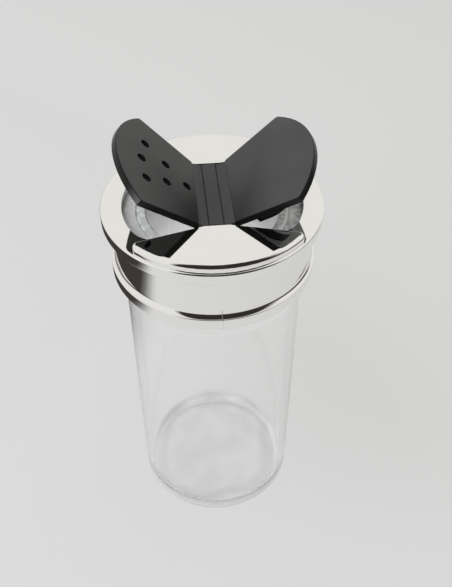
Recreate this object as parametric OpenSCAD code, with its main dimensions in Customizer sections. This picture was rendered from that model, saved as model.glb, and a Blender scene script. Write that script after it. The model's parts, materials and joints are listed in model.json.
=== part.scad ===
// Spice jar: a clear glass jar with a wide neck, a chrome screw cap and a black
// two-way flip top whose flaps turn on bending hinges. Millimetres, +Z up, the origin
// at the centre of the base, hinge lines along Y, the sprinkle flap towards -X.

/* [Glass jar] */
// Outer diameter of the glass body
jar_d = 44; // [43:0.5:45]
// Thickness of the glass wall
jar_wall = 2.2; // [1.8:0.1:2.8]
// Thickness of the glass floor
jar_floor = 3.6; // [2.4:0.1:6]
// Outer rounding where the wall meets the floor
heel_r = 2.5; // [1.5:0.1:4]
// Height of the straight body, up to the shoulder
jar_body_h = 80; // [50:1:140]
// Height of the neck, from the shoulder to the lip
neck_h = 14.65; // [12:0.05:20]
// Outer diameter of the neck under its thread
neck_d = 39.7; // [39:0.1:40.4]
// Rounding of the lip's outer edge
lip_r = 0.8; // [0.3:0.1:1]
// Diameter of the hollow under the base
foot_hollow_d = 33; // [24:0.5:36]
// Depth of the hollow under the base
foot_hollow_h = 0.7; // [0.3:0.1:1.5]

/* [Neck bead] */
// Height of the bead's centre above the shoulder
bead_above_shoulder = 2.6; // [1.5:0.1:4]
// Radius of the bead's section
neck_bead_r = 0.9; // [0.5:0.05:1]

/* [Seal ring] */
// Thickness of the flange between the lip and the cap
seal_t = 1.6; // [1:0.1:2.4]
// Diameter of the flange's hole
seal_hole_d = 31; // [30:0.1:32.6]
// Diameter of the groove round the flange's face
seal_groove_d = 35.3; // [35:0.1:36]
// Radius of the groove's section
seal_groove_r = 0.4; // [0.2:0.05:0.6]
// Depth of the collar that stands in the neck
seal_collar_h = 3; // [1.5:0.1:5]
// Thickness of the collar
seal_collar_t = 0.9; // [0.6:0.05:1.4]
// Gap between the collar and the neck
seal_gap = 0.35; // [0.3:0.05:0.6]

/* [Cap shell] */
// Outer diameter of the skirt
skirt_d = 47.3; // [46.8:0.1:47.8]
// Gap between the shoulder and the skirt's lower edge
skirt_gap = 0.35; // [0.3:0.05:1.5]
// Inner diameter of the cap
cap_bore_d = 42.8; // [42.4:0.1:43.4]
// Diameter of the roll at the lower edge
roll_d = 49.4; // [49.2:0.1:50]
// Height of the roll at the lower edge
roll_h = 3.1; // [2.4:0.1:4]
// Radius of the cove between the skirt and the roll
cove_r = 0.9; // [0.4:0.05:0.95]
// Diameter of the flange round the top
flange_d = 52; // [51.6:0.1:53]
// Height of the flange
flange_h = 3; // [2:0.1:4]
// Thickness of the top plate
plate_t = 2; // [1.6:0.1:2.6]
// Diameter of the raised crown
crown_d = 51; // [50.4:0.1:51.4]
// Height of the crown above the top plate
crown_h = 2; // [1.7:0.1:2.6]
// Rounding of the crown's corners beside the flaps
crown_corner_r = 1.2; // [0.6:0.1:2]
// Rounding of the crown's outer edge
crown_edge_r = 1.1; // [0.4:0.1:1.3]
// Rounding of the cap's outer edges
cap_edge_r = 0.45; // [0.2:0.05:0.6]

/* [Cap openings] */
// Diameter of the openings' outer arc
opening_d = 42; // [40.4:0.1:42.4]
// Rounding of the openings' outer corners
opening_corner_r = 6.5; // [1:0.5:7]
// Width of the bridge between the openings
bridge_w = 10; // [9.4:0.1:11]
// Width of the ledge beside an opening
ledge_w = 1.2; // [0.8:0.1:2]

/* [Hinge strip] */
// Width of the strip
strip_w = 4.1; // [3.6:0.1:4.6]
// Length of the strip
strip_l = 23.2; // [22.8:0.1:24]
// Gap round the strip
inlay_gap = 0.3; // [0.2:0.05:0.5]
// Width of a bending web
web_w = 2.2; // [1.8:0.05:2.6]
// Thickness of a bending web
web_t = 0.4; // [0.3:0.05:0.6]
// How far a web lies under the strip's face
web_drop = 0.15; // [0.05:0.05:0.3]
// Gap between a web and its flap
web_gap = 0.15; // [0.1:0.05:0.3]
// Diameter of the studs that hold the strip
stud_d = 3; // [2:0.1:3.6]
// Distance between the studs
stud_pitch = 13; // [10:0.5:15]
// Diameter of the stud heads
stud_head_d = 4.4; // [4:0.1:5]
// Height of the stud heads
stud_head_h = 0.9; // [0.6:0.1:1.2]

/* [Flaps] */
// How far the sprinkle flap stands open
sprinkle_open_angle = 41; // [0:0.5:95]
// How far the pour flap stands open
pour_open_angle = 34.5; // [0:0.5:95]
// Length of a flap along its hinge
flap_root_l = 23.8; // [22.4:0.1:24.2]
// Reach of a closed flap from the jar's axis
flap_reach = 26.6; // [25.8:0.1:26.8]
// Radius of a flap's outer edge
flap_arc_r = 22.9; // [21.4:0.1:26]
// Angle of a flap's side edges to the X axis
flap_side_angle = 15; // [12:0.5:17]
// Rounding of a flap's tips
flap_tip_r = 1.2; // [0.4:0.1:1.6]
// Gap beside a closed flap
flap_side_gap = 0.4; // [0.3:0.05:0.6]
// Gap under a closed flap
flap_gap = 0.36; // [0.1:0.02:0.4]
// Height of the lip under the pour flap
flap_lip_h = 2.1; // [0.8:0.1:2.1]
// Thickness of the lip under the pour flap
flap_lip_t = 0.8; // [0.6:0.05:0.9]
// Gap between the lip and its opening
flap_lip_gap = 0.45; // [0.4:0.05:0.6]

/* [Sprinkle holes] */
// Diameter of the sprinkle holes
hole_d = 2.1; // [1.2:0.1:2.4]
// Rows of holes, the first with one hole
hole_rows = 3; // [1:1:3]
// Radius of the first row
hole_first_r = 6.8; // [6.4:0.1:7.2]
// Distance from row to row
hole_row_step = 6.4; // [5:0.1:6.6]
// Distance between the holes of a row
hole_pitch = 6.7; // [4:0.1:7]

/* [Hidden] */
$fn = 96;
eps = 0.01;
jar_r = jar_d / 2;
neck_r = neck_d / 2;
bore_r = neck_r - jar_wall;
hollow_r = jar_r - jar_wall;
shoulder_r = jar_r - neck_r;
shoulder_z = jar_body_h + shoulder_r;
jar_h = shoulder_z + neck_h;
inner_heel_r = max(heel_r - jar_wall / 2, 0.5);

plate_z0 = jar_h + seal_t;
ledge_z = plate_z0 + plate_t;
crown_z = ledge_z + crown_h;
skirt_z0 = shoulder_z + skirt_gap;
skirt_h = plate_z0 - skirt_z0;
skirt_r = skirt_d / 2;
roll_r = roll_d / 2;
flange_r = flange_d / 2;
crown_r = crown_d / 2;
cap_bore_r = cap_bore_d / 2;
opening_r = opening_d / 2;
mouth_relief = 1;
seal_r = cap_bore_r - seal_gap;

strip_x = strip_w / 2;
web_x = strip_x + web_w;
flap_root_x = web_x + web_gap;
web_z1 = crown_z - web_drop;
web_z0 = web_z1 - web_t;
pivot_x = (strip_x + web_x + web_gap) / 2;
pivot_z = (web_z0 + web_z1) / 2;
flap_z0 = ledge_z + flap_gap;
flap_t = crown_z - flap_z0;
stud_gap = 0.1;

// Distance from the axis to the side line that starts at (x0, y0) and leans by a
function side_distance(x0, y0, a) = y0 * cos(a) - x0 * sin(a);

// Point at distance d from the axis, square to the side line, and t along it
function side_point(d, t, a) = [t * cos(a) - d * sin(a), d * cos(a) + t * sin(a)];

// How far along the side line a tip circle of radius tip_r sits inside the arc r
function tip_along(r, d, tip_r) = sqrt(pow(r - tip_r, 2) - pow(d, 2));

// Half-line distance of the inlay's edge: the flap's side edge plus the gap
flap_side_d = side_distance(flap_root_x, flap_root_l / 2, flap_side_angle);
inlay_side_d = flap_side_d + flap_side_gap;

// One quadrant's sharp corner between a side line and an arc, cut to a round tip.
// side is 1 where the body lies outside the line and -1 where it lies inside it.
module tip_cut(r, d, tip_r, side) {
    centre_d = d + side * tip_r;
    along = tip_along(r, centre_d, tip_r);
    centre = side_point(centre_d, along, flap_side_angle);
    corner = side_point(d - side * tip_r, r * 1.1, flap_side_angle);
    difference() {
        polygon([centre, side_point(d - side * eps, along, flap_side_angle), corner,
            centre * (r + tip_r) / (r - tip_r)]);
        translate(centre) circle(tip_r);
    }
}

// The same shape in all four quadrants
module four_quadrants() {
    for (mx = [0, 1], my = [0, 1]) mirror([mx, 0, 0]) mirror([0, my, 0]) children();
}

// Wedge of one side, from x0 outwards, between two side lines at distance d
module side_wedge(x0, d) {
    a = flap_side_angle;
    reach = flange_r * 1.2;
    y0 = (d + x0 * sin(a)) / cos(a);
    y1 = (d + reach * sin(a)) / cos(a);
    polygon([[x0, -y0], [reach, -y1], [reach, y1], [x0, y0]]);
}

// Plan of one opening, drawn in from all its edges by inset
module opening_plan(inset, x0) {
    r = opening_r - inset;
    d = inlay_side_d - ledge_w - inset;
    difference() {
        intersection() {
            circle(r);
            side_wedge(x0, d);
        }
        for (my = [0, 1]) mirror([0, my, 0]) tip_cut(r, d, opening_corner_r - inset / 2, -1);
    }
}

// Plan of the recess that the strip and the closed flaps lie in
module inlay_plan() {
    square([2 * flap_root_x, strip_l + 2 * inlay_gap], center = true);
    for (mx = [0, 1]) mirror([mx, 0, 0]) side_wedge(strip_x, inlay_side_d);
}

// Plan of a closed flap, whose outer edge is an arc of its own
module flap_plan() {
    arc_x = flap_reach - flap_arc_r;
    arc_side_d = flap_side_d + arc_x * sin(flap_side_angle);
    difference() {
        intersection() {
            translate([arc_x, 0]) circle(flap_arc_r);
            side_wedge(flap_root_x, flap_side_d);
        }
        for (my = [0, 1]) mirror([0, my, 0]) translate([arc_x, 0])
            tip_cut(flap_arc_r, arc_side_d, flap_tip_r, -1);
    }
}

// Quarter disc for an outer rounding
module quarter(r) {
    intersection() {
        circle(r);
        square(r);
    }
}

// Band from the axis to r, between two heights, with its outer corners rounded
module round_band(r, z0, z1, lower_r, upper_r) {
    translate([0, z0 + lower_r]) square([r, z1 - z0 - lower_r - upper_r]);
    translate([0, z0]) square([r - lower_r, lower_r + eps]);
    translate([0, z1 - upper_r - eps]) square([r - upper_r, upper_r + eps]);
    translate([r - lower_r, z0 + lower_r]) mirror([0, 1, 0]) quarter(lower_r);
    translate([r - upper_r, z1 - upper_r]) quarter(upper_r);
}

module jar_outside() {
    round_band(jar_r, 0, jar_body_h, heel_r, eps);
    translate([0, jar_body_h - eps]) square([neck_r, shoulder_r]);
    translate([neck_r - eps, jar_body_h - eps]) quarter(shoulder_r);
    round_band(neck_r, jar_body_h, jar_h, eps, lip_r);
    translate([neck_r, shoulder_z + bead_above_shoulder]) circle(neck_bead_r);
}

module jar_inside() {
    inner_body_z = jar_body_h - jar_wall;
    round_band(hollow_r, jar_floor, inner_body_z, inner_heel_r, eps);
    translate([0, inner_body_z - eps]) square([bore_r, jar_h]);
    translate([bore_r - eps, inner_body_z - eps]) quarter(hollow_r - bore_r);
}

module glass_jar() {
    color("lightcyan", 0.5) rotate_extrude($fn = 180) difference() {
        jar_outside();
        jar_inside();
        square([foot_hollow_d / 2, foot_hollow_h]);
    }
}

module seal_ring() {
    collar_r = bore_r - seal_gap;
    inner_r = collar_r - seal_collar_t;
    hole_r = min(seal_hole_d / 2, inner_r);
    color("whitesmoke") rotate_extrude($fn = 180) {
        difference() {
            translate([hole_r, jar_h]) square([seal_r - hole_r, seal_t]);
            translate([seal_groove_d / 2, plate_z0]) circle(seal_groove_r);
        }
        translate([inner_r, jar_h - seal_collar_h]) square([seal_collar_t, seal_collar_h + eps]);
    }
}

module cap_profile() {
    roll_z1 = skirt_z0 + roll_h;
    flange_z0 = ledge_z - flange_h;
    cove = min(cove_r, roll_r - skirt_r - 2 * eps);
    difference() {
        union() {
            round_band(roll_r, skirt_z0, roll_z1, cap_edge_r, roll_r - skirt_r - cove);
            translate([skirt_r - eps, roll_z1 - eps]) difference() {
                square(cove + eps);
                translate([cove + eps, cove + eps]) circle(cove);
            }
            translate([0, skirt_z0 + cap_edge_r]) square([skirt_r, ledge_z - skirt_z0 - 2 * cap_edge_r]);
            round_band(flange_r, flange_z0, ledge_z, cap_edge_r, cap_edge_r);
        }
        translate([0, skirt_z0 - eps]) square([cap_bore_r, skirt_h + eps]);
        translate([0, skirt_z0 - eps]) square([cap_bore_r + mouth_relief / 2, mouth_relief]);
    }
}

// The raised crown: two wedges between the flaps, with rounded corners
module crown() {
    intersection() {
        rotate_extrude($fn = 180) round_band(crown_r, ledge_z - eps, crown_z, eps, crown_edge_r);
        translate([0, 0, ledge_z - eps]) linear_extrude(crown_h + 2 * eps) difference() {
            circle(flange_r);
            inlay_plan();
            four_quadrants() tip_cut(crown_r, inlay_side_d, crown_corner_r, 1);
        }
    }
}

module stud_places() {
    for (y = [-stud_pitch / 2, stud_pitch / 2]) translate([0, y, 0]) children();
}

module cap_shell() {
    color("silver") difference() {
        union() {
            rotate_extrude($fn = 180) cap_profile();
            crown();
        }
        for (mx = [0, 1]) mirror([mx, 0, 0]) translate([0, 0, plate_z0 - eps])
            linear_extrude(plate_t + 2 * eps) opening_plan(0, bridge_w / 2);
        stud_places() translate([0, 0, plate_z0 - eps])
            cylinder(d = stud_d + 2 * stud_gap, h = plate_t + 2 * eps);
    }
}

module hinge_strip() {
    color("dimgray") {
        translate([-strip_x, -strip_l / 2, ledge_z]) cube([strip_w, strip_l, crown_h]);
        stud_places() {
            translate([0, 0, plate_z0 - eps]) cylinder(d = stud_d, h = plate_t + 2 * eps);
            translate([0, 0, plate_z0 - stud_head_h]) cylinder(d = stud_head_d, h = stud_head_h);
        }
    }
}

// Bending web on the +X side
module hinge_web() {
    translate([strip_x, -strip_l / 2, web_z0]) cube([web_w, strip_l, web_t]);
}

module sprinkle_hinge_web() {
    color("gray") mirror([1, 0, 0]) hinge_web();
}

module pour_hinge_web() {
    color("gray") hinge_web();
}

// A closed flap on the +X side
module closed_flap() {
    translate([0, 0, flap_z0]) linear_extrude(flap_t) flap_plan();
}

// The lip under the closed pour flap, which enters its opening
module pour_lip() {
    translate([0, 0, flap_z0 - flap_lip_h]) linear_extrude(flap_lip_h + eps) difference() {
        opening_plan(flap_lip_gap, bridge_w / 2 + flap_lip_gap);
        opening_plan(flap_lip_gap + flap_lip_t, 0);
    }
}

// Children swung open about the +X hinge line
module swing(angle) {
    translate([pivot_x, 0, pivot_z]) rotate([0, -angle, 0]) translate([-pivot_x, 0, -pivot_z])
        children();
}

// Rows of holes, each with one hole more than the row before it
module sprinkle_holes() {
    for (row = [0 : hole_rows - 1]) {
        row_r = hole_first_r + row * hole_row_step;
        for (i = [0 : row]) rotate((i - row / 2) * hole_pitch / row_r * 180 / PI)
            translate([row_r, 0, flap_z0 - eps]) cylinder(d = hole_d, h = flap_t + 2 * eps);
    }
}

module sprinkle_flap() {
    color("dimgray") mirror([1, 0, 0]) swing(sprinkle_open_angle) difference() {
        closed_flap();
        sprinkle_holes();
    }
}

module pour_flap() {
    color("dimgray") swing(pour_open_angle) {
        closed_flap();
        pour_lip();
    }
}

glass_jar();
seal_ring();
cap_shell();
hinge_strip();
sprinkle_hinge_web();
pour_hinge_web();
sprinkle_flap();
pour_flap();
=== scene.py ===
"""Spice jar: the looks of the glass, the chrome cap and the black flip top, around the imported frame.

Lengths are millimetres in the part's frame, and become metres as each mesh is made.
"""
import json
import math

import bmesh
import bpy
from mathutils import Matrix, Vector, geometry


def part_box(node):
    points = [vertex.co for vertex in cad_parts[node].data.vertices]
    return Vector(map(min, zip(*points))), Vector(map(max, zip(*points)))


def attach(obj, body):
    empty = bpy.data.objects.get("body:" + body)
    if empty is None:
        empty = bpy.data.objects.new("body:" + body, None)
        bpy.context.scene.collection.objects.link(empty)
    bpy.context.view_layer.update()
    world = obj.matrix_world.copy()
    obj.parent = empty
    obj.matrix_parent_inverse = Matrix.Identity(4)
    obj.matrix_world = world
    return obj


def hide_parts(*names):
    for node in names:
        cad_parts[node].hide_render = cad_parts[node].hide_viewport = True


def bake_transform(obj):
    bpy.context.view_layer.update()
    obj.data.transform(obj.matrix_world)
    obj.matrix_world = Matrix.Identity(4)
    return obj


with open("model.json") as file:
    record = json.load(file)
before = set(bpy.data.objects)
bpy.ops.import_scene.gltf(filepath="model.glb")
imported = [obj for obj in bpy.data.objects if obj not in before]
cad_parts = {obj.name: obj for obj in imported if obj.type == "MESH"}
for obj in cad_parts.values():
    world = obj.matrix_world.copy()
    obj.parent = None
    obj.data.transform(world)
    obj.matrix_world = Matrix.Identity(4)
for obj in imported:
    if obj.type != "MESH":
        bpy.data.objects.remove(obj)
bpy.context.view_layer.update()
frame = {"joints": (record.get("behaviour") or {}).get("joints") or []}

MM = 0.001
TURN = 2 * math.pi


def node_box(node):
    """Lowest and highest corner of a CAD node, in millimetres."""
    low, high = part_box(node)
    return low / MM, high / MM


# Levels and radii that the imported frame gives
JAR_HIGH = node_box("glass_jar")[1]
CAP_LOW, CAP_HIGH = node_box("cap_shell")
SEAL_LOW, SEAL_HIGH = node_box("seal_ring")
STRIP_HIGH = node_box("hinge_strip")[1]
WEB_LOW, WEB_HIGH = node_box("pour_hinge_web")
JOINTS = {joint["name"]: joint for joint in frame["joints"]}
JAR_R = JAR_HIGH.x
LIP_Z = JAR_HIGH.z
SKIRT_Z0 = CAP_LOW.z
CROWN_Z = CAP_HIGH.z
FLANGE_R = CAP_HIGH.x
PLATE_Z0 = SEAL_HIGH.z
SEAL_R = SEAL_HIGH.x
STRIP_HALF_L = STRIP_HIGH.y
STRIP_HALF_W = WEB_LOW.x
WEB_Z0, WEB_Z1 = WEB_LOW.z, WEB_HIGH.z
WEB_HALF_L = WEB_HIGH.y
PIVOT_X = JOINTS["pour_hinge"]["pos_m"][0] / MM
PIVOT_Z = JOINTS["pour_hinge"]["pos_m"][2] / MM

# Glass sizes, as in the part's source
WALL = 2.2
FLOOR_T = 3.6
HEEL_R = 2.5
NECK_R = 19.85
BODY_H = 80.0
BEAD_Z = 84.75
BEAD_R = 0.9
LIP_EDGE_R = 0.8
FOOT_HOLLOW_R = 16.5
FOOT_HOLLOW_H = 0.7

# Finer forms of the glass; the shoulder's arc ends a spare off the neck
LIP_INNER_EDGE_R = 0.5
SHOULDER_SPARE = 0.05
INNER_HEEL_R = 1.6
INNER_NECK_RISE = 0.6
INNER_NECK_BEND_R = 0.6
INNER_SHOULDER_DROP = 1.0
INNER_SHOULDER_BEND_R = 1.6

# Screw thread of the glass and of the cap: a right-hand helix with one start
THREAD_LEAD = 4.2
THREAD_TURNS = 1.3
THREAD_Z0 = 87.2
THREAD_H = 0.95
THREAD_W = 2.3
THREAD_FADE = 0.06
THREAD_ROUNDNESS = 0.6
CAP_THREAD_H = 0.9
CAP_THREAD_W = 1.5
CAP_THREAD_END_GAP = 1.0

# Cap sizes, as in the part's source
PLATE_T = 2.0
LEDGE_Z = PLATE_Z0 + PLATE_T
SKIRT_R = 23.65
ROLL_R = 24.7
ROLL_H = 3.1
FLANGE_H = 3.0
CROWN_R = 25.5
CROWN_CORNER_R = 1.2
CROWN_EDGE_R = 1.1
CAP_BORE_R = 21.4
CAP_EDGE_R = 0.45
MOUTH_RELIEF = 1.0
OPENING_R = 21.0
OPENING_CORNER_R = 6.5
BRIDGE_HALF_W = 5.0
LEDGE_W = 1.2
INLAY_GAP = 0.3

# Finer forms of the cap, with a cove a little wider than in the part's source
COVE_R = 1.6
ROLL_EDGE_R = 0.15
FLANGE_FILLET_R = 0.3
CROWN_SIDE_EDGE_R = 0.1
MOUTH_EDGE_R = 0.2
OPENING_LOW_EDGE_R = 0.15
OPENING_TOP_EDGE_R = 0.2

# Parting line of the mould on the roll, at the front and the back; it rises out of the cove
SEAM_W = 0.7
SEAM_H = 0.16
SEAM_RISE_W = 0.8
SEAM_TOP_Z = 88.5
SEAM_TURNS = (TURN / 4, TURN * 3 / 4)
SEAM_HALF_TURN = SEAM_W / 2 / ROLL_R

# Rings this far from a bend keep the shine of the straight wall beside it straight
GLASS_HOLD = 0.6
SKIRT_HOLD = 0.4

# Seal ring sizes, as in the part's source
SEAL_COLLAR_R = 17.3
SEAL_COLLAR_T = 0.9
SEAL_HOLE_R = 15.5
SEAL_GROOVE_RING_R = 17.65
SEAL_GROOVE_R = 0.4

# Finer forms of the seal ring, and the width of the rim round its hole that has its own painted
# highlight and shade
SEAL_EDGE_R = 0.3
SEAL_CORNER_R = 0.15
SEAL_HOLE_EDGE_R = 0.5
SEAL_RIM_W = 0.4

# Flap sizes, as in the part's source
SIDE_ANGLE = math.radians(15)
WEB_GAP = 0.15
FLAP_ROOT_X = WEB_HIGH.x + WEB_GAP
FLAP_ROOT_HALF_L = 11.9
FLAP_SIDE_GAP = 0.4
FLAP_GAP = 0.36
FLAP_Z0 = LEDGE_Z + FLAP_GAP
FLAP_REACH = 26.6
FLAP_ARC_R = 22.9
FLAP_TIP_R = 1.2
FLAP_LIP_H = 2.1
FLAP_LIP_T = 0.8
FLAP_LIP_GAP = 0.45
HOLE_R = 1.05
HOLE_ROWS = 3
HOLE_FIRST_R = 6.8
HOLE_ROW_STEP = 6.4
HOLE_PITCH = 6.7

# Finer forms of the flaps; the lip's arms start some way off the bridge
FLAP_EDGE_R = 0.22
FLAP_LIP_EDGE_R = 0.2
FLAP_LIP_ROOT_GAP = 3.6

# Studs of the hinge strip, as in the part's source
STUD_R = 1.5
STUD_HEAD_R = 2.2
STUD_HEAD_H = 0.9
STUD_HALF_PITCH = 6.5

# Finer forms of the hinge strip
STRIP_CORNER_R = 0.3
STRIP_LOW_EDGE_R = 0.1
STRIP_TOP_EDGE_R = 0.06
STUD_EDGE_R = 0.4

# The bands start in from the bar's edge, on a step beside its raised middle, with a groove there
BAND_INSET = 0.5
GROOVE_D = 0.25
GROOVE_W = 0.3

# Mesh fineness; the bead's reach and step are in degrees
SEGMENTS = 256
ARC_STEP = math.radians(6)
HOLE_STEP = math.radians(12)
SEAL_GROOVE_STEP = math.radians(15)
BEAD_REACH = 84
BEAD_STEP = 12
DISH_STEPS = 12
FILLET_STEPS = 6
WEB_STEPS = 16
THREAD_STEP = 0.2
CAP_THREAD_STEP = 0.25
SHARP_ANGLE = math.radians(38)
MITRE_LIMIT = 0.5
WELD = 1e-4
EMBED = 0.1

# Finish of the glass: faint waves, a matt zone towards the neck that reaches lower at the back,
# and a dull base, greyed by painted shadow and blotched with painted light and shade
GLASS_IOR = 1.5
WAVE_SCALE = 60
WAVE_STRETCH = (1, 1, 0.3)
WAVE_STRENGTH = 0.06
WAVE_H = 0.4
MATT_Z = (74.0, 86.0)
MATT_TILT = 4.0
MATT_ROUGHNESS = 0.7
BASE_Z = (3.7, 7.0)
BASE_ROUGHNESS = 0.22
BASE_SCALE = 130
BASE_SHADE = 0.94
BASE_SPREAD = 0.05

# Frosted foot, greyed by painted shade, and the uneven ring of painted shade where the inside wall
# meets the floor
FOOT_Z = (4.0, 6.2)
FOOT_R = (17.8, 20.8)
FOOT_CLEARNESS = 0.4
FOOT_SHADE = 0.77
RING_R = 18.0
RING_W = 3.0
RING_LOBES = 4
RING_LOBE_H = 0.7
RING_SCALE = 110
RING_WOBBLE = 2.4
RING_SHADE = 0.74
RING_LOW_Z = (2.0, 3.0)
RING_HIGH_Z = (5.5, 6.0)

# Finish of the chrome, of its parting line and of the plating inside the cap
SMEAR_SCALE = 140
CHROME_ROUGHNESS = (0.015, 0.05)
CHROME_DIM = (0.90, 0.895, 0.875)
CHROME_BRIGHT = (0.94, 0.935, 0.915)
SEAM_FADE_Z = (87.5, 88.5)
SEAM_ROUGHNESS = 0.5
DULL_METAL = 0.3
DULL_SCALE = 300
DULL_ROUGHNESS = (0.42, 0.55)
DULL_DIM = (0.90, 0.90, 0.895)
DULL_BRIGHT = (0.95, 0.95, 0.945)

# Finish of the black plastic; painted shade darkens the corner at a hinge's front end and fades towards
# the back
PLASTIC_IOR = 1.5
SHEEN_ROUGHNESS = 0.5
PATCH_SCALE = 90
PATCH_SPREAD = 0.12
GLOSS_SPREAD = 0.05
GRAIN_SCALE = 5200
GRAIN_ROUGHNESS = 0.6
GRAIN_STRENGTH = 0.25
GRAIN_H = 0.04
CORNER_BACK_Y = 8.0

# Painted highlight on a flap's front tip: the turns of the side faces that have it, and where it fades
HIGHLIGHT_TURN = (math.radians(-66), math.radians(-20))
HIGHLIGHT_Y = (-19.0, -12.0)

# Finish of the seal
SEAL_TRANSMISSION = 0.1
SEAL_SCALE = 700
SEAL_ROUGHNESS = (0.3, 0.42)
SEAL_GREY = (0.5, 1.0)

# Stretches of a noise's values that are spread over a whole range: a wide and a narrow one
NOISE_WIDE = (0.3, 0.7)
NOISE_NARROW = (0.35, 0.65)

# A flap's face is flat where its normal rises more than the first limit, upright below the second
FLAT_RISE = 0.95
UPRIGHT_RISE = 0.3

# Material slots of a flap
FACE_SLOT, EDGE_SLOT, UNDER_SLOT, HIGHLIGHT_SLOT = range(4)


# Outlines and profiles

def arc(cx, cy, r, a0, a1, step=ARC_STEP):
    """Points along an arc, both ends included."""
    count = max(2, math.ceil(abs(a1 - a0) / step))
    angles = [a0 + (a1 - a0) * i / count for i in range(count + 1)]
    return [(cx + r * math.cos(a), cy + r * math.sin(a)) for a in angles]


def rounded(corners, closed=True):
    """A path through (x, y, radius) corners, with each corner rounded to its radius."""
    path = []
    count = len(corners)
    for i, (x, y, r) in enumerate(corners):
        end = not closed and i in (0, count - 1)
        if r == 0 or end:
            path.append((x, y))
            continue
        here = Vector((x, y))
        back = (Vector(corners[i - 1][:2]) - here).normalized()
        ahead = (Vector(corners[(i + 1) % count][:2]) - here).normalized()
        half = math.acos(max(-1, min(1, back.dot(ahead)))) / 2
        reach = r / math.tan(half)
        centre = here + (back + ahead).normalized() * (r / math.sin(half))
        first, last = here + back * reach - centre, here + ahead * reach - centre
        a0 = math.atan2(first.y, first.x)
        sweep = math.atan2(first.x * last.y - first.y * last.x, first.dot(last))
        path += arc(centre.x, centre.y, r, a0, a0 + sweep)
    return path


def side_point(d, t):
    """Point at distance d from the axis, square to a flap's side line, and t along it."""
    c, s = math.cos(SIDE_ANGLE), math.sin(SIDE_ANGLE)
    return Vector((t * c - d * s, d * c + t * s))


def wedge_outline(x0, side_d, arc_x, arc_r, tip_r):
    """Plan of a wedge towards +X: straight root at x0, leaning sides, an outer arc and round tips."""
    c, s = math.cos(SIDE_ANGLE), math.sin(SIDE_ANGLE)
    d = side_d + arc_x * s
    along = math.sqrt((arc_r - tip_r) ** 2 - (d - tip_r) ** 2)
    centre = side_point(d - tip_r, along)
    lean = math.atan2(centre.y, centre.x)
    half = arc(arc_x, 0, arc_r, 0, lean)[:-1]
    half += arc(arc_x + centre.x, centre.y, tip_r, lean, SIDE_ANGLE + math.pi / 2)
    half.append((x0, (side_d + x0 * s) / c))
    return [(x, -y) for x, y in reversed(half[1:])] + half


FLAP_SIDE_D = FLAP_ROOT_HALF_L * math.cos(SIDE_ANGLE) - FLAP_ROOT_X * math.sin(SIDE_ANGLE)
INLAY_SIDE_D = FLAP_SIDE_D + FLAP_SIDE_GAP
OPENING_SIDE_D = INLAY_SIDE_D - LEDGE_W


def opening_outline(inset=0.0, x0=BRIDGE_HALF_W):
    """Plan of the +X opening, drawn in from its arc and sides by inset."""
    corner = OPENING_CORNER_R - inset / 2
    return wedge_outline(x0, OPENING_SIDE_D - inset, 0, OPENING_R - inset, corner)


def crown_outline():
    """Plan of the +Y wedge of the crown, and the rounding of its upper edge at each point."""
    r, corner = CROWN_R, CROWN_CORNER_R
    along = math.sqrt((r - corner) ** 2 - (INLAY_SIDE_D + corner) ** 2)
    centre = side_point(INLAY_SIDE_D + corner, along)
    lean = math.atan2(centre.y, centre.x)
    c, s = math.cos(SIDE_ANGLE), math.sin(SIDE_ANGLE)
    end_y = STRIP_HALF_L + INLAY_GAP
    notch_x = (end_y * c - INLAY_SIDE_D) / s
    turn = arc(centre.x, centre.y, corner, SIDE_ANGLE - math.pi / 2, lean)
    rim = arc(0, 0, r, lean, math.pi / 2)[1:]
    half = [(notch_x, end_y)] + turn + rim
    grow = CROWN_EDGE_R - CROWN_SIDE_EDGE_R
    radii = [CROWN_SIDE_EDGE_R]
    radii += [CROWN_SIDE_EDGE_R + grow * i / (len(turn) - 1) for i in range(len(turn))]
    radii += [CROWN_EDGE_R] * len(rim)
    outline = half + [(-x, y) for x, y in reversed(half[:-1])]
    return outline, radii + radii[-2::-1]


def offset(outline, depths):
    """A closed counter-clockwise outline moved inwards, square to its edges, by a depth per point."""
    moved = []
    for i, (point, d) in enumerate(zip(outline, depths)):
        here = Vector(point)
        a = (here - Vector(outline[i - 1])).normalized()
        b = (Vector(outline[(i + 1) % len(outline)]) - here).normalized()
        inward = Vector((-a.y - b.y, a.x + b.x)).normalized()
        stretch = max(MITRE_LIMIT, inward.dot(Vector((-a.y, a.x))))
        moved.append(tuple(here + inward * (d / stretch)))
    return moved


# Mesh making

def ring_faces(bm, low, high):
    """Smooth quads between two closed rings of vertices."""
    count = len(low)
    for i in range(count):
        j = (i + 1) % count
        bm.faces.new((low[i], low[j], high[j], high[i])).smooth = True


def edge_levels(z0, z1, low_r, high_r):
    """(inset, z) of the rings of a slab's side, with its lower and upper edges rounded."""
    levels = []
    for r, z, sign in ((low_r, z0, 1), (high_r, z1, -1)):
        steps = range(FILLET_STEPS + 1) if r else (0,)
        turn = [(r * (1 - math.sin(i / FILLET_STEPS * math.pi / 2)),
                 z + sign * r * (1 - math.cos(i / FILLET_STEPS * math.pi / 2))) for i in steps]
        levels += turn if sign > 0 else turn[::-1]
    return levels


def slab(bm, outline, z0, z1, low_r=0.0, high_r=0.0, holes=()):
    """A plate of an outline's shape, with rounded edges, also round its holes.

    high_r is one radius, or one for each point of the outline.
    """
    tops, bottoms = [], []
    for path, sign in [(outline, 1)] + [(hole, -1) for hole in holes]:
        radii = high_r if isinstance(high_r, list) else [high_r] * len(path)
        rings = side_rings(bm, path, sign, [edge_levels(z0, z1, low_r, r) for r in radii])
        bottoms.append(rings[0])
        tops.append(rings[-1])
    for rings in (bottoms, tops):
        cap_face(bm, rings)


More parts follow.
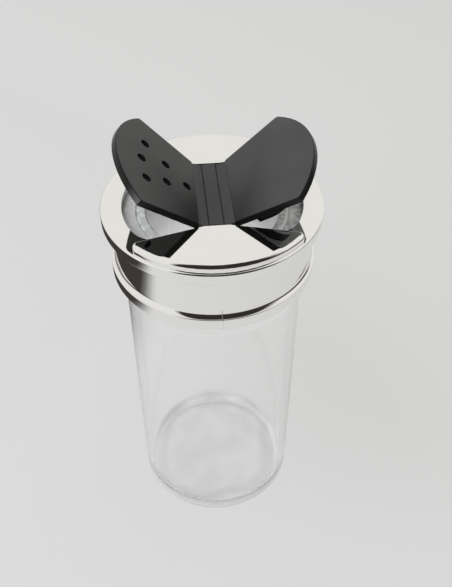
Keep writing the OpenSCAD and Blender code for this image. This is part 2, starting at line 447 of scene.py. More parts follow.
def side_rings(bm, path, sign, columns):
    """Rings and faces of a slab's side from the (inset, z) column of each point of its outline."""
    rings = []
    for level in zip(*columns):
        moved = offset(path, [sign * inset for inset, z in level])
        rings.append([bm.verts.new((x, y, z)) for (x, y), (inset, z) in zip(moved, level)])
    for low, high in zip(rings, rings[1:]):
        ring_faces(bm, low, high)
    return rings


def cap_face(bm, rings):
    """Flat faces that fill the first ring, apart from the others."""
    flat = [vert for ring in rings for vert in ring]
    for triangle in geometry.tessellate_polygon([[v.co for v in ring] for ring in rings]):
        corners = [flat[i] for i in triangle]
        if len(set(corners)) == 3 and bm.faces.get(corners) is None:
            bm.faces.new(corners).smooth = False


def lathe(bm, profile, swell=None, closed=True, extra=()):
    """A profile of (r, z) points turned about Z; swell(r, z, angle) adds to the radius.

    extra gives angles of vertices besides the even ones.
    """
    angles = sorted([TURN * i / SEGMENTS for i in range(SEGMENTS)] + list(extra))
    count = len(angles)
    rings = []
    for r, z in profile:
        if r == 0:
            rings.append([bm.verts.new((0, 0, z))])
            continue
        ring = []
        for a in angles:
            reach = r + (swell(r, z, a) if swell else 0)
            ring.append(bm.verts.new((reach * math.cos(a), reach * math.sin(a), z)))
        rings.append(ring)
    pairs = list(zip(rings, rings[1:]))
    if closed:
        pairs.append((rings[-1], rings[0]))
    for low, high in pairs:
        if len(low) == 1 or len(high) == 1:
            pole, ring = (low[0], high) if len(low) == 1 else (high[0], low)
            for i in range(count):
                bm.faces.new((pole, ring[i], ring[(i + 1) % count])).smooth = True
        else:
            ring_faces(bm, low, high)
    return rings


def make_piece(name, bm, material, move=None):
    """A Blender object of the mesh, in metres, with hard edges kept hard."""
    bmesh.ops.remove_doubles(bm, verts=bm.verts, dist=WELD)
    bmesh.ops.recalc_face_normals(bm, faces=bm.faces)
    for edge in bm.edges:
        edge.smooth = len(edge.link_faces) == 2 and edge.calc_face_angle(0) < SHARP_ANGLE
    bmesh.ops.transform(bm, matrix=Matrix.Scale(MM, 4) @ (move or Matrix()), verts=bm.verts)
    if move is not None and move.determinant() < 0:
        bmesh.ops.reverse_faces(bm, faces=bm.faces)
    mesh = bpy.data.meshes.new(name)
    bm.to_mesh(mesh)
    bm.free()
    mesh.materials.append(material)
    obj = bpy.data.objects.new(name, mesh)
    bpy.context.scene.collection.objects.link(obj)
    return obj


def dress(obj, body, slot, *nodes):
    """The piece rides on a body, if one is given, and stands for CAD nodes; slot is not used."""
    if body:
        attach(obj, body)
    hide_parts(*nodes)
    return obj


# Material nodes

def new_material(name, **values):
    """A Principled material with constant values on its sockets."""
    material = bpy.data.materials.new(name)
    material.use_nodes = True
    shader = material.node_tree.nodes["Principled BSDF"]
    for key, value in values.items():
        shader.inputs[key.replace("_", " ")].default_value = value
    return material, material.node_tree, shader


def object_noise(tree, scale, detail=2.0, roughness=0.5, stretch=(1, 1, 1)):
    """A noise texture in the object's own metres; scale is in features per metre."""
    place = tree.nodes.new("ShaderNodeTexCoord")
    mapping = tree.nodes.new("ShaderNodeMapping")
    mapping.inputs["Scale"].default_value = stretch
    noise = tree.nodes.new("ShaderNodeTexNoise")
    noise.inputs["Scale"].default_value = scale
    noise.inputs["Detail"].default_value = detail
    noise.inputs["Roughness"].default_value = roughness
    tree.links.new(place.outputs["Object"], mapping.inputs["Vector"])
    tree.links.new(mapping.outputs["Vector"], noise.inputs["Vector"])
    return noise.outputs["Fac"]


def coordinate(tree, axis):
    """The object's own X, Y or Z, in metres."""
    place = tree.nodes.new("ShaderNodeTexCoord")
    split = tree.nodes.new("ShaderNodeSeparateXYZ")
    tree.links.new(place.outputs["Object"], split.inputs["Vector"])
    return split.outputs[axis]


def single(tree, operation, source):
    """The result of an operation on one value, such as its square root."""
    node = tree.nodes.new("ShaderNodeMath")
    node.operation = operation
    tree.links.new(source, node.inputs[0])
    return node.outputs["Value"]


def combine(tree, operation, a, b):
    """The result of an operation on a value and another value or number, such as their sum."""
    node = tree.nodes.new("ShaderNodeMath")
    node.operation = operation
    tree.links.new(a, node.inputs[0])
    if isinstance(b, (int, float)):
        node.inputs[1].default_value = b
    else:
        tree.links.new(b, node.inputs[1])
    return node.outputs["Value"]


def radius(tree):
    """Distance from the object's own Z axis, in metres."""
    x, y = coordinate(tree, "X"), coordinate(tree, "Y")
    square = combine(tree, "ADD", combine(tree, "MULTIPLY", x, x), combine(tree, "MULTIPLY", y, y))
    return single(tree, "SQRT", square)


def value_map(tree, source, at0, at1, low, high, curve="LINEAR"):
    """A value from low to high as another goes between two values, and level past them."""
    node = tree.nodes.new("ShaderNodeMapRange")
    node.interpolation_type = curve
    node.inputs["From Min"].default_value = at0
    node.inputs["From Max"].default_value = at1
    node.inputs["To Min"].default_value = low
    node.inputs["To Max"].default_value = high
    tree.links.new(source, node.inputs["Value"])
    return node.outputs["Result"]


def ramp(tree, source, at0, at1, low, high):
    """A value that goes softly from low to high between two places, in millimetres."""
    return value_map(tree, source, at0 * MM, at1 * MM, low, high, curve="SMOOTHSTEP")


def colour_range(tree, source, low, high, into):
    """Maps a 0 to 1 value to a ramp between two colours and feeds it to a socket."""
    band = tree.nodes.new("ShaderNodeValToRGB")
    band.color_ramp.elements[0].color = (*low, 1)
    band.color_ramp.elements[1].color = (*high, 1)
    tree.links.new(source, band.inputs["Fac"])
    tree.links.new(band.outputs["Color"], into)


def bump(tree, source, shader, strength, height):
    """Feeds a relief to the shader's normal; its height is in millimetres."""
    node = tree.nodes.new("ShaderNodeBump")
    node.inputs["Strength"].default_value = strength
    node.inputs["Distance"].default_value = height * MM
    tree.links.new(source, node.inputs["Height"])
    tree.links.new(node.outputs["Normal"], shader.inputs["Normal"])


# Materials

def painted_shade_ring(tree, r):
    """1 in the clear glass, and darker along a lobed ring of painted shade on the inside floor."""
    angle = combine(tree, "ARCTAN2", coordinate(tree, "Y"), coordinate(tree, "X"))
    lobes = single(tree, "COSINE", combine(tree, "MULTIPLY", angle, RING_LOBES))
    lobe = value_map(tree, lobes, -1, 1, -RING_LOBE_H * MM, RING_LOBE_H * MM)
    wobble = value_map(tree, object_noise(tree, RING_SCALE, detail=1.0), *NOISE_WIDE,
                       -(RING_R + RING_WOBBLE / 2) * MM, -(RING_R - RING_WOBBLE / 2) * MM)
    away = single(tree, "ABSOLUTE", combine(tree, "ADD", r, combine(tree, "ADD", lobe, wobble)))
    # Painted shade along the lobed ring
    shade = ramp(tree, away, 0, RING_W, RING_SHADE, 1.0)
    z = coordinate(tree, "Z")
    below = ramp(tree, z, *RING_LOW_Z, 1.0, 0.0)
    above = ramp(tree, z, *RING_HIGH_Z, 0.0, 1.0)
    return combine(tree, "MAXIMUM", shade, combine(tree, "MAXIMUM", below, above))


def glass_material():
    """Clear glass with faint waves, matt at the neck, dull in its base and frosted at its foot; painted
    shade greys its base, its foot and a ring on the inside floor, with blotches of painted light and
    shade in the base.
    """
    material, tree, shader = new_material("clear_glass", IOR=GLASS_IOR)
    wave = object_noise(tree, WAVE_SCALE, detail=1.0, stretch=WAVE_STRETCH)
    bump(tree, wave, shader, WAVE_STRENGTH, WAVE_H)
    z, r = coordinate(tree, "Z"), radius(tree)
    tilt = value_map(tree, coordinate(tree, "Y"), -JAR_R * MM, JAR_R * MM,
                     -MATT_TILT * MM, MATT_TILT * MM)
    matt = ramp(tree, combine(tree, "ADD", z, tilt), *MATT_Z, 0.0, MATT_ROUGHNESS)
    dull = ramp(tree, z, *BASE_Z, BASE_ROUGHNESS, 0.0)
    tree.links.new(combine(tree, "ADD", matt, dull), shader.inputs["Roughness"])
    high = ramp(tree, z, *FOOT_Z, FOOT_CLEARNESS, 1.0)
    inner = ramp(tree, r, *FOOT_R, 1.0, FOOT_CLEARNESS)
    clear = combine(tree, "MAXIMUM", high, inner)
    tree.links.new(clear, shader.inputs["Transmission Weight"])
    # The frosted foot is greyed by painted shade
    foot = value_map(tree, clear, FOOT_CLEARNESS, 1.0, FOOT_SHADE, 1.0)
    # Painted shadow greys the base, with blotches of painted light and shade
    cloud = object_noise(tree, BASE_SCALE, detail=1.0)
    blotches = value_map(tree, cloud, *NOISE_NARROW, BASE_SHADE - BASE_SPREAD, BASE_SHADE + BASE_SPREAD)
    low = ramp(tree, z, *BASE_Z, 0.0, 1.0)
    base_and_foot_shade = combine(tree, "MULTIPLY", combine(tree, "MAXIMUM", low, blotches), foot)
    tree.links.new(combine(tree, "MULTIPLY", base_and_foot_shade, painted_shade_ring(tree, r)), shader.inputs["Base Color"])
    return material


def chrome_material():
    """Bright plated chrome with faint smears, duller along the parting line."""
    material, tree, shader = new_material("plated_chrome", Metallic=1.0)
    smear = object_noise(tree, SMEAR_SCALE, detail=4.0)
    from_line = single(tree, "ABSOLUTE", coordinate(tree, "X"))
    across = ramp(tree, from_line, 0.0, SEAM_W / 2, 1.0, 0.0)
    below = ramp(tree, coordinate(tree, "Z"), *SEAM_FADE_Z, 1.0, 0.0)
    seam = combine(tree, "MULTIPLY", combine(tree, "MULTIPLY", across, below), SEAM_ROUGHNESS)
    shine = value_map(tree, smear, 0, 1, *CHROME_ROUGHNESS)
    tree.links.new(combine(tree, "MAXIMUM", shine, seam), shader.inputs["Roughness"])
    colour_range(tree, smear, CHROME_DIM, CHROME_BRIGHT, shader.inputs["Base Color"])
    return material


def dull_plating_material():
    """Plating on the unpolished inside of the cap."""
    material, tree, shader = new_material("dull_plating", Metallic=DULL_METAL)
    cloud = object_noise(tree, DULL_SCALE, detail=3.0)
    tree.links.new(value_map(tree, cloud, 0, 1, *DULL_ROUGHNESS), shader.inputs["Roughness"])
    colour_range(tree, cloud, DULL_DIM, DULL_BRIGHT, shader.inputs["Base Color"])
    return material


def black_plastic_material(name, tone, gloss, specular=0.15, sheen=0.04,
                           corner=1.0, corner_w=9.0, fade=1.0):
    """Satin black plastic with a fine moulded grain; tone is its grey, gloss its mean roughness.

    corner is the share of the tone that is left in the corner at a hinge's front end, a painted shade,
    and corner_w is how far from the hinge this painted shade reaches. fade is the share of the tone
    that is left away from a front tip with a painted highlight.
    """
    material, tree, shader = new_material(
        name, IOR=PLASTIC_IOR, Specular_IOR_Level=specular, Sheen_Weight=sheen,
        Sheen_Roughness=SHEEN_ROUGHNESS)
    cloud = object_noise(tree, PATCH_SCALE, detail=3.0)
    patches = value_map(tree, cloud, *NOISE_WIDE, (1 - PATCH_SPREAD) * tone, (1 + PATCH_SPREAD) * tone)
    from_hinge, y = single(tree, "ABSOLUTE", coordinate(tree, "X")), coordinate(tree, "Y")
    # Painted shade: darker towards the hinge and towards the front end
    out = ramp(tree, from_hinge, FLAP_ROOT_X, FLAP_ROOT_X + corner_w, corner, 1.0)
    back = ramp(tree, y, -FLAP_ROOT_HALF_L, CORNER_BACK_Y, corner, 1.0)
    # Painted highlight on a front tip, fading away from it
    tip_light = ramp(tree, y, *HIGHLIGHT_Y, 1.0, fade)
    shade = combine(tree, "MULTIPLY", combine(tree, "MAXIMUM", out, back), tip_light)
    tree.links.new(combine(tree, "MULTIPLY", patches, shade), shader.inputs["Base Color"])
    rough = value_map(tree, cloud, 0, 1, gloss - GLOSS_SPREAD, gloss + GLOSS_SPREAD)
    tree.links.new(rough, shader.inputs["Roughness"])
    grain = object_noise(tree, GRAIN_SCALE, detail=2.0, roughness=GRAIN_ROUGHNESS)
    bump(tree, grain, shader, GRAIN_STRENGTH, GRAIN_H)
    return material


def seal_material(name, left, right):
    """Milky soft plastic; left and right are its darkest greys at the sprinkle and the pour side, which
    make painted light and shade from side to side.
    """
    material, tree, shader = new_material(
        name, IOR=PLASTIC_IOR, Transmission_Weight=SEAL_TRANSMISSION)
    cloud = object_noise(tree, SEAL_SCALE, detail=3.0)
    # Painted light and shade: the grey goes from one side to the other
    darkest = ramp(tree, coordinate(tree, "X"), -SEAL_HOLE_R, SEAL_HOLE_R, left, right)
    patches = value_map(tree, cloud, *NOISE_NARROW, *SEAL_GREY)
    tree.links.new(combine(tree, "MAXIMUM", darkest, patches), shader.inputs["Base Color"])
    tree.links.new(value_map(tree, cloud, 0, 1, *SEAL_ROUGHNESS), shader.inputs["Roughness"])
    return material


GLASS = glass_material()
CHROME = chrome_material()
DULL = dull_plating_material()
# Flap faces; the corner at each hinge's front end is painted shade, deeper and wider on the sprinkle
# flap
BLACK = black_plastic_material("black_plastic", tone=0.050, gloss=0.42, corner=0.35)
PAINTED_SHADE_BLACK = black_plastic_material("painted_shade_black_plastic", tone=0.048, gloss=0.42, corner=0.15,
                                corner_w=14.0)
# Painted highlight on the sprinkle flap's front tip, fading behind it to the dark sides' tone
TIP_HIGHLIGHT = black_plastic_material("painted_highlight_black_edge", tone=0.15, gloss=0.24, sheen=0.0, fade=0.053)
# Flap sides and hole walls: a smoother black, darkened by painted shade
PAINTED_SHADE_EDGE = black_plastic_material("smooth_painted_shade_edge", tone=0.008, gloss=0.24, sheen=0.0)
# Under the sprinkle flap: painted shade
PAINTED_SHADE_UNDERSIDE = black_plastic_material("painted_shade_underside", tone=0.014, gloss=0.5, specular=0.08, sheen=0.0)
FLEXED = black_plastic_material("flexed_plastic", tone=0.044, gloss=0.34)
# Under the pour flap: a paler black that is painted light
PAINTED_LIGHT_UNDERSIDE = black_plastic_material("painted_light_black_underside", tone=0.115, gloss=0.42)
# The seal's greys from side to side are painted light and shade: the ring paler on the sprinkle side,
# the groove and hole rim a painted highlight on the pour side and painted shade on the sprinkle side
MILKY = seal_material("milky_seal", left=0.80, right=0.55)
MILKY_EDGE = seal_material("milky_seal_edge", left=0.60, right=1.0)


# Glass jar

def thread_height(z, angle, width, height, phase=0.0):
    """How far a one-start helix stands out at a level and an angle, fading at both ends."""
    best = 0.0
    for turn in range(math.ceil(THREAD_TURNS)):
        along = angle / TURN + turn
        if not 0 <= along <= THREAD_TURNS:
            continue
        fade = min(1, along / THREAD_FADE, (THREAD_TURNS - along) / THREAD_FADE)
        away = abs(z - THREAD_Z0 - phase - THREAD_LEAD * along) / (width / 2)
        if away < 1:
            hump = (0.5 + 0.5 * math.cos(math.pi * away)) ** THREAD_ROUNDNESS
            best = max(best, fade * height * hump)
    return best


def spaced(z0, z1, step):
    """Heights from z0 to z1, at most step apart, without the ends."""
    count = math.ceil((z1 - z0) / step)
    return [z0 + (z1 - z0) * i / count for i in range(1, count)]


def glass_profile():
    """The glass section, from the middle of the foot outside, over the lip and down inside."""
    bore_r = NECK_R - WALL
    hollow_r = JAR_R - WALL
    shoulder_z = BODY_H + JAR_R - NECK_R
    inner_neck_z = BODY_H - WALL + INNER_NECK_RISE
    inner_bend_z = BODY_H - WALL - INNER_SHOULDER_DROP
    thread_low = THREAD_Z0 - THREAD_W / 2
    thread_high = THREAD_Z0 + THREAD_LEAD * THREAD_TURNS + THREAD_W / 2
    dish_r = (FOOT_HOLLOW_R ** 2 + FOOT_HOLLOW_H ** 2) / (2 * FOOT_HOLLOW_H)
    outside = [(r, FOOT_HOLLOW_H - dish_r + math.sqrt(dish_r ** 2 - r ** 2))
               for r in (FOOT_HOLLOW_R * i / DISH_STEPS for i in range(DISH_STEPS))]
    outside += rounded([
        (FOOT_HOLLOW_R, 0, 0), (JAR_R, 0, HEEL_R), (JAR_R, HEEL_R + GLASS_HOLD, 0),
        (JAR_R, BODY_H - GLASS_HOLD, 0), (JAR_R, shoulder_z, JAR_R - NECK_R - SHOULDER_SPARE),
        (NECK_R, shoulder_z, 0)], closed=False)
    outside += [(NECK_R + BEAD_R * math.cos(a), BEAD_Z + BEAD_R * math.sin(a))
                for a in (math.radians(d) for d in range(-BEAD_REACH, BEAD_REACH + 1, BEAD_STEP))]
    outside += [(NECK_R, z) for z in spaced(thread_low, thread_high, THREAD_STEP)]
    lip = rounded([
        (NECK_R, thread_high, 0), (NECK_R, LIP_Z, LIP_EDGE_R), (bore_r, LIP_Z, LIP_INNER_EDGE_R),
        (bore_r, BODY_H, 0)], closed=False)
    inside = rounded([
        (bore_r, BODY_H, 0), (bore_r, inner_neck_z, INNER_NECK_BEND_R),
        (hollow_r, inner_bend_z, INNER_SHOULDER_BEND_R),
        (hollow_r, inner_bend_z - INNER_SHOULDER_BEND_R, 0),
        (hollow_r, FLOOR_T + INNER_HEEL_R + GLASS_HOLD, 0), (hollow_r, FLOOR_T, INNER_HEEL_R),
        (0, FLOOR_T, 0)], closed=False)
    return outside + lip + inside[1:]


def glass_swell(r, z, angle):
    """The thread stands out of the neck's outside only."""
    return thread_height(z, angle, THREAD_W, THREAD_H) if r == NECK_R else 0.0


def build_glass():
    """The jar's glass, which lets light through to what stands behind it."""
    bm = bmesh.new()
    lathe(bm, glass_profile(), swell=glass_swell, closed=False)
    glass = dress(make_piece("glass_body", bm, GLASS), "jar", "glass", "glass_jar")
    glass.visible_shadow = False
    glass.visible_diffuse = False


# Seal ring

def build_seal():
    """The seal ring, with painted highlight and shade of their own in the groove and on the rim of the
    hole.
    """
    inner_r = SEAL_COLLAR_R - SEAL_COLLAR_T
    low, top = SEAL_LOW.z, SEAL_HIGH.z
    profile = rounded([
        (inner_r, LIP_Z, 0), (inner_r, low, SEAL_EDGE_R), (SEAL_COLLAR_R, low, SEAL_EDGE_R),
        (SEAL_COLLAR_R, LIP_Z, SEAL_CORNER_R), (SEAL_R, LIP_Z, SEAL_EDGE_R), (SEAL_R, top, SEAL_EDGE_R),
        (SEAL_GROOVE_RING_R + SEAL_GROOVE_R, top, 0)], closed=False)
    profile += arc(SEAL_GROOVE_RING_R, top, SEAL_GROOVE_R, 0, -math.pi, SEAL_GROOVE_STEP)
    profile += rounded([
        (SEAL_GROOVE_RING_R - SEAL_GROOVE_R, top, 0), (SEAL_HOLE_R, top, SEAL_HOLE_EDGE_R),
        (SEAL_HOLE_R, LIP_Z, SEAL_HOLE_EDGE_R), (inner_r, LIP_Z, 0)], closed=False)[1:-1]
    bm = bmesh.new()
    lathe(bm, profile)
    ring = make_piece("milky_seal_ring", bm, MILKY)
    ring.data.materials.append(MILKY_EDGE)
    for face in ring.data.polygons:
        centre = face.center / MM
        r = math.hypot(centre.x, centre.y)
        groove = abs(r - SEAL_GROOVE_RING_R) < SEAL_GROOVE_R and centre.z > LIP_Z
        face.material_index = int(groove or r < SEAL_HOLE_R + SEAL_RIM_W)
    dress(ring, "seal", "seal", "seal_ring")


# Chrome cap

def cap_side_profile():
    """The cap's section from the top plate's rim, down outside, and up the bore."""
    roll_z1 = SKIRT_Z0 + ROLL_H
    flange_z0 = LEDGE_Z - FLANGE_H
    mouth_r, mouth_z = CAP_BORE_R + MOUTH_RELIEF / 2, SKIRT_Z0 + MOUTH_RELIEF
    cove_turn = math.acos(1 - (ROLL_R - ROLL_EDGE_R - SKIRT_R) / COVE_R)
    cove_z = roll_z1 + COVE_R * math.sin(cove_turn)
    side = rounded([
        (FLANGE_R - 2 * CAP_EDGE_R, LEDGE_Z, 0), (FLANGE_R, LEDGE_Z, CAP_EDGE_R),
        (FLANGE_R, flange_z0, CAP_EDGE_R), (SKIRT_R, flange_z0, FLANGE_FILLET_R),
        (SKIRT_R, cove_z + SKIRT_HOLD, 0), (SKIRT_R, cove_z, 0)], closed=False)
    side += arc(SKIRT_R + COVE_R, cove_z, COVE_R, math.pi, math.pi + cove_turn)[1:]
    side += rounded([
        side[-1] + (0,), (ROLL_R, roll_z1, ROLL_EDGE_R), (ROLL_R, SKIRT_Z0, CAP_EDGE_R),
        (mouth_r, SKIRT_Z0, MOUTH_EDGE_R), (mouth_r, mouth_z, 0), (CAP_BORE_R, mouth_z, 0)],
        closed=False)[1:]
    side += [(CAP_BORE_R, z) for z in spaced(mouth_z, PLATE_Z0, CAP_THREAD_STEP)]
    return side + [(CAP_BORE_R, PLATE_Z0)]


def cap_swell(r, z, angle):
    """The parting line stands out of the roll, and the cap's own thread stands in from its bore.

    The thread lies between the turns of the glass's thread.
    """
    if r > SKIRT_R and z < SEAM_TOP_Z:
        on_line = any(abs(angle - turn) < SEAM_HALF_TURN / 2 for turn in SEAM_TURNS)
        return SEAM_H * min(1, (r - SKIRT_R) / SEAM_RISE_W) if on_line else 0.0
    if r != CAP_BORE_R or z > PLATE_Z0 - CAP_THREAD_END_GAP:
        return 0.0
    return -thread_height(z, angle, CAP_THREAD_W, CAP_THREAD_H, -THREAD_LEAD / 2)


def build_cap():
    """The cap: turned side and plate, two openings and the crown's two wedges, dull inside."""
    bm = bmesh.new()
    seam_sides = [turn + side * SEAM_HALF_TURN for turn in SEAM_TURNS for side in (-1, 1)]
    rings = lathe(bm, cap_side_profile(), swell=cap_swell, closed=False, extra=seam_sides)
    tops, unders = [rings[0]], [rings[-1]]
    opening = opening_outline()
    levels = edge_levels(PLATE_Z0, LEDGE_Z, OPENING_LOW_EDGE_R, OPENING_TOP_EDGE_R)
    for path in (opening, [(-x, y) for x, y in reversed(opening)]):
        hole_rings = side_rings(bm, path, -1, [levels] * len(path))
        unders.append(hole_rings[0])
        tops.append(hole_rings[-1])
    cap_face(bm, tops)
    cap_face(bm, unders)
    wedge, edge_radii = crown_outline()
    for path in (wedge, [(-x, -y) for x, y in wedge]):
        slab(bm, path, LEDGE_Z - EMBED, CROWN_Z, high_r=edge_radii)
    cap = make_piece("chrome_cap", bm, CHROME)
    cap.data.materials.append(DULL)
    for face in cap.data.polygons:
        centre = face.center / MM
        inside = math.hypot(centre.x, centre.y) < CAP_BORE_R + MOUTH_RELIEF / 2
        face.material_index = int(inside and centre.z < PLATE_Z0 + EMBED)
    dress(cap, "cap", "chrome", "cap_shell")


# Flip top

def open_angle(joint_name):
    """How far a flap stands open at rest, from its shut place at the joint's lower limit."""
    return math.radians(-JOINTS[joint_name]["range_deg"][0])


def swing_matrix(joint_name, mirrored):
    """Takes a closed +X flap to its rest place: mirrored or not, and opened to the photo's angle."""
    pivot = Matrix.Translation((PIVOT_X, 0, PIVOT_Z))
    swing = pivot @ Matrix.Rotation(-open_angle(joint_name), 4, "Y") @ pivot.inverted()
    return Matrix.Diagonal((-1, 1, 1, 1)) @ swing if mirrored else swing


def hole_outlines():
    """The sprinkle holes, each row with one hole more than the row before it."""
    paths = []
    for row in range(HOLE_ROWS):
        r = HOLE_FIRST_R + row * HOLE_ROW_STEP
        for i in range(row + 1):
            a = (i - row / 2) * HOLE_PITCH / r
            paths.append(arc(r * math.cos(a), r * math.sin(a), HOLE_R, 0, TURN, HOLE_STEP)[:-1])
    return paths


def lip_outline():
    """Plan of the lip under a flap: an arc with two arms, open towards the hinge."""
    x0 = BRIDGE_HALF_W + FLAP_LIP_ROOT_GAP
    outer = opening_outline(FLAP_LIP_GAP, x0)
    inner = opening_outline(FLAP_LIP_GAP + FLAP_LIP_T, x0)
    return outer + inner[::-1]


def flap_slot(face, painted_tip):
    """Material slot of a face of a closed +X flap, which has a painted highlight on its front tip or
    not.
    """
    rise = abs(face.normal.z)
    if rise < FLAT_RISE:
        turn = math.atan2(face.normal.y, face.normal.x)
        at_tip = painted_tip and HIGHLIGHT_TURN[0] < turn < HIGHLIGHT_TURN[1] and rise < UPRIGHT_RISE
        return HIGHLIGHT_SLOT if at_tip else EDGE_SLOT
    below = face.calc_center_median().z < FLAP_Z0 + EMBED
    return UNDER_SLOT if below else FACE_SLOT


def build_flap(name, body, joint_name, node, face, under, holes=(), lip=False, painted_tip=False,
               mirrored=False):
    """A flap with the given materials on its face and below, which carry painted light and shade, and
    smooth edges all round whose darker black is painted shade.
    """
    bm = bmesh.new()
    outline = wedge_outline(FLAP_ROOT_X, FLAP_SIDE_D, FLAP_REACH - FLAP_ARC_R, FLAP_ARC_R, FLAP_TIP_R)
    slab(bm, outline, FLAP_Z0, CROWN_Z, FLAP_EDGE_R, FLAP_EDGE_R, holes)
    if lip:
        slab(bm, lip_outline(), FLAP_Z0 - FLAP_LIP_H, FLAP_Z0 + EMBED, low_r=FLAP_LIP_EDGE_R)
    for part in bm.faces:
        part.normal_update()
        part.material_index = flap_slot(part, painted_tip)
    piece = make_piece(name, bm, face, swing_matrix(joint_name, mirrored))
    piece.data.materials.append(PAINTED_SHADE_EDGE)
    piece.data.materials.append(under)
    if painted_tip:
        piece.data.materials.append(TIP_HIGHLIGHT)
    dress(piece, body, "flip_top", node)


def build_strip():
    """The bar between the flaps, with a raised middle and two headed studs through the bridge."""
    bm = bmesh.new()
    w, h = STRIP_HALF_W, STRIP_HALF_L
    m = w - BAND_INSET
    bar = rounded([(x, y, STRIP_CORNER_R) for x, y in ((-w, -h), (w, -h), (w, h), (-w, h))])
    slab(bm, bar, LEDGE_Z, WEB_Z0 + EMBED, low_r=STRIP_LOW_EDGE_R)
    slab(bm, [(-m, -h), (m, -h), (m, h), (-m, h)], WEB_Z0, CROWN_Z, high_r=STRIP_TOP_EDGE_R)
    head_z0 = PLATE_Z0 - STUD_HEAD_H
    for y in (-STUD_HALF_PITCH, STUD_HALF_PITCH):
        shank = arc(0, y, STUD_R, 0, TURN)[:-1]
        head = arc(0, y, STUD_HEAD_R, 0, TURN)[:-1]
        slab(bm, shank, PLATE_Z0 - EMBED, LEDGE_Z + EMBED)
        slab(bm, head, head_z0, PLATE_Z0, low_r=STUD_EDGE_R)
    dress(make_piece("flip_top_bar", bm, FLEXED), "cap", "flip_top", "hinge_strip")


def build_web(name, joint_name, node, mirrored=False):
    """The hinge band: an arc at rest, square to the bar at one end and to the flap at the other."""
    opened = open_angle(joint_name)
    bend_r = (PIVOT_X - STRIP_HALF_W) / math.tan(opened / 2)
    half_t = (WEB_Z1 - WEB_Z0) / 2
    start_x = STRIP_HALF_W - BAND_INSET
    section = [(x, 0.0, PIVOT_Z) for x in (start_x - EMBED, start_x, start_x + GROOVE_W)]
    for i in range(WEB_STEPS + 1):
        a = opened * i / WEB_STEPS
        section.append((STRIP_HALF_W + bend_r * math.sin(a), a, PIVOT_Z + bend_r * (1 - math.cos(a))))
    end_x, a, end_z = section[-1]
    section.append((end_x + EMBED * math.cos(a), a, end_z + EMBED * math.sin(a)))
    groove = [GROOVE_D] * 2 + [0.0] * (len(section) - 2)
    upper = [(x - (half_t - g) * math.sin(a), z + (half_t - g) * math.cos(a))
             for (x, a, z), g in zip(section, groove)]
    lower = [(x + half_t * math.sin(a), z - half_t * math.cos(a)) for x, a, z in section]
    path = upper + lower[::-1]
    bm = bmesh.new()
    ends = [[bm.verts.new((x, y, z)) for x, z in path] for y in (-WEB_HALF_L, WEB_HALF_L)]
    ring_faces(bm, *ends)
    for end in ends:
        bm.faces.new(end).smooth = False
    side = -1 if mirrored else 1
    piece = make_piece(name, bm, FLEXED, Matrix.Diagonal((side, 1, 1, 1)))
    dress(piece, None, "flip_top", node)
    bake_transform(piece)


# Stage, light and camera

FLOOR_GREY = (0.638, 0.636, 0.634)
FLOOR_SPREAD = 1.02
FLOOR_SCALE = 3
FLOOR_ROUGHNESS = 0.7
FLOOR_SPECULAR = 0.2
FLOOR_HALF = 3000
WORLD_GREY = (0.828, 0.818, 0.793)
LAMP_TINT = (0.95, 1.0, 1.085)
LAMP_PLACE = (-900, -500, 1000)
LAMP_TARGET = (0, 0, 60)
LAMP_SIZE = 1600
LAMP_WATTS = 12
CAMERA_PLACE = (-10.9, -142.2, 207.9)
CAMERA_TARGET = (3.15, -0.31, 70.16)
CAMERA_LENS = 46.85
CAMERA_SENSOR = 36.0
CAMERA_NEAR = 5.0

# Dark cards: two on a dome round the cap, by turn and rise in degrees, and one on the floor
CARD_GREY = (0.025, 0.018, 0.018)
CARD_ROUGHNESS = 0.8
CARD_STEPS = 32
DOME_R = 400
FRONT_CARD_TURNS = (-134, -20)
FRONT_CARD_RISES = (-10, 82)
RIGHT_CARD_TURNS = (-50, 30)
RIGHT_CARD_RISES = (-10, 14)
LEFT_CARD_TURN = math.radians(140)
LEFT_CARD_AWAY = (50, 330)
LEFT_CARD_ALONG = (-150, 150)
LEFT_CARD_Z = 2


def aim(obj, place, target):
    """Puts an object at a place, facing a target, in millimetres."""
    place, target = Vector(place), Vector(target)
    obj.location = place * MM
    obj.rotation_euler = (target - place).to_track_quat("-Z", "Y").to_euler()


def build_floor():
    """A plain pale floor."""
    material, tree, shader = new_material(
        "pale_floor", Roughness=FLOOR_ROUGHNESS, Specular_IOR_Level=FLOOR_SPECULAR)
    cloud = object_noise(tree, FLOOR_SCALE)
    paler = tuple(c * FLOOR_SPREAD for c in FLOOR_GREY)
    colour_range(tree, cloud, FLOOR_GREY, paler, shader.inputs["Base Color"])
    bm = bmesh.new()
    bmesh.ops.create_grid(bm, x_segments=1, y_segments=1, size=FLOOR_HALF)
    floor = make_piece("floor", bm, material)


def build_light():
    """Even light from all round, and a large soft lamp that shows in no reflection."""
    world = bpy.data.worlds.new("soft_room")
    bpy.context.scene.world = world
    world.use_nodes = True
    world.node_tree.nodes["Background"].inputs["Color"].default_value = (*WORLD_GREY, 1)
    data = bpy.data.lights.new("soft_lamp", "AREA")
    data.size = LAMP_SIZE * MM
    data.energy = LAMP_WATTS
    data.color = LAMP_TINT
    lamp = bpy.data.objects.new("soft_lamp", data)
    aim(lamp, LAMP_PLACE, LAMP_TARGET)
    lamp.visible_camera = False
    lamp.visible_transmission = False
    lamp.visible_glossy = False
    bpy.context.scene.collection.objects.link(lamp)


def between(span, share):
    """The value at a share of the way along a span."""
    return span[0] + (span[1] - span[0]) * share


def ease(share, low, high):
    """0 at both ends of 0..1 and 1 between, over a soft stretch at the low and the high end."""
    t = min([1.0] + [side / soft for side, soft in ((share, low), (1 - share, high)) if soft])
    return t * t * (3 - 2 * t)


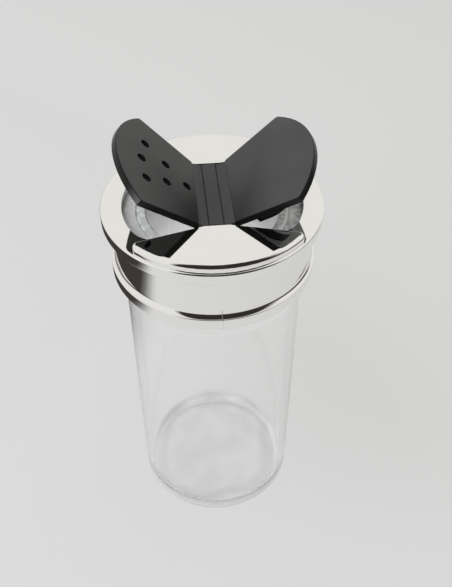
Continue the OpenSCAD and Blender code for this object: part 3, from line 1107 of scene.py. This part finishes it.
def dome_place(turns, rises):
    """The place(u, v) of a card on the dome, between two turns and two rises in degrees."""
    def place(u, v):
        turn = math.radians(between(turns, u))
        rise = math.radians(between(rises, v))
        flat = DOME_R * math.cos(rise)
        return flat * math.cos(turn), flat * math.sin(turn), SKIRT_Z0 + DOME_R * math.sin(rise)
    return place


def floor_place(u, v):
    """The place of a card on the floor to the left, with its near edge slanting towards the back."""
    away, along = between(LEFT_CARD_AWAY, u), between(LEFT_CARD_ALONG, v)
    c, s = math.cos(LEFT_CARD_TURN), math.sin(LEFT_CARD_TURN)
    return away * c + along * s, away * s - along * c, LEFT_CARD_Z


def add_card(name, place, soft_u, soft_v):
    """A dark card with soft edges that shows in reflections only.

    place(u, v) gives its points, with u and v from 0 to 1.
    """
    material, tree, shader = new_material(name, Roughness=CARD_ROUGHNESS, Base_Color=(*CARD_GREY, 1))
    share = tree.nodes.new("ShaderNodeAttribute")
    share.attribute_name = "share"
    tree.links.new(share.outputs["Fac"], shader.inputs["Alpha"])
    bm = bmesh.new()
    layer = bm.verts.layers.float.new("share")
    rows = []
    for i in range(CARD_STEPS + 1):
        row = []
        for j in range(CARD_STEPS + 1):
            u, v = i / CARD_STEPS, j / CARD_STEPS
            vert = bm.verts.new(place(u, v))
            vert[layer] = ease(u, *soft_u) * ease(v, *soft_v)
            row.append(vert)
        rows.append(row)
    for near, far in zip(rows, rows[1:]):
        for j in range(CARD_STEPS):
            bm.faces.new((near[j], near[j + 1], far[j + 1], far[j]))
    card = make_piece(name, bm, material)
    card.visible_camera = False
    card.visible_diffuse = False
    card.visible_shadow = False
    card.visible_transmission = False


def build_cards():
    """Cards to the front, to the right and on the floor to the left."""
    front = dome_place(FRONT_CARD_TURNS, FRONT_CARD_RISES)
    right = dome_place(RIGHT_CARD_TURNS, RIGHT_CARD_RISES)
    add_card("front_card", front, soft_u=(0.06, 0.2), soft_v=(0.06, 0.06))
    add_card("right_card", right, soft_u=(0.1, 0.2), soft_v=(0.2, 0.2))
    add_card("left_card", floor_place, soft_u=(0.13, 0.0), soft_v=(0.1, 0.1))


def build_camera():
    """The camera, at the photo's place."""
    data = bpy.data.cameras.new("camera")
    data.lens = CAMERA_LENS
    data.sensor_width = CAMERA_SENSOR
    data.clip_start = CAMERA_NEAR * MM
    camera = bpy.data.objects.new("camera", data)
    aim(camera, CAMERA_PLACE, CAMERA_TARGET)
    bpy.context.scene.collection.objects.link(camera)
    bpy.context.scene.camera = camera


build_glass()
build_seal()
build_cap()
build_strip()
build_web("sprinkle_web", "sprinkle_hinge", "sprinkle_hinge_web", mirrored=True)
build_web("pour_web", "pour_hinge", "pour_hinge_web")
build_flap("perforated_flap", "sprinkle", "sprinkle_hinge", "sprinkle_flap", PAINTED_SHADE_BLACK, PAINTED_SHADE_UNDERSIDE,
           hole_outlines(), painted_tip=True, mirrored=True)
build_flap("plain_flap", "pour", "pour_hinge", "pour_flap", BLACK, PAINTED_LIGHT_UNDERSIDE, lip=True)
build_floor()
build_light()
build_cards()
build_camera()
bpy.context.scene.view_settings.view_transform = "Standard"
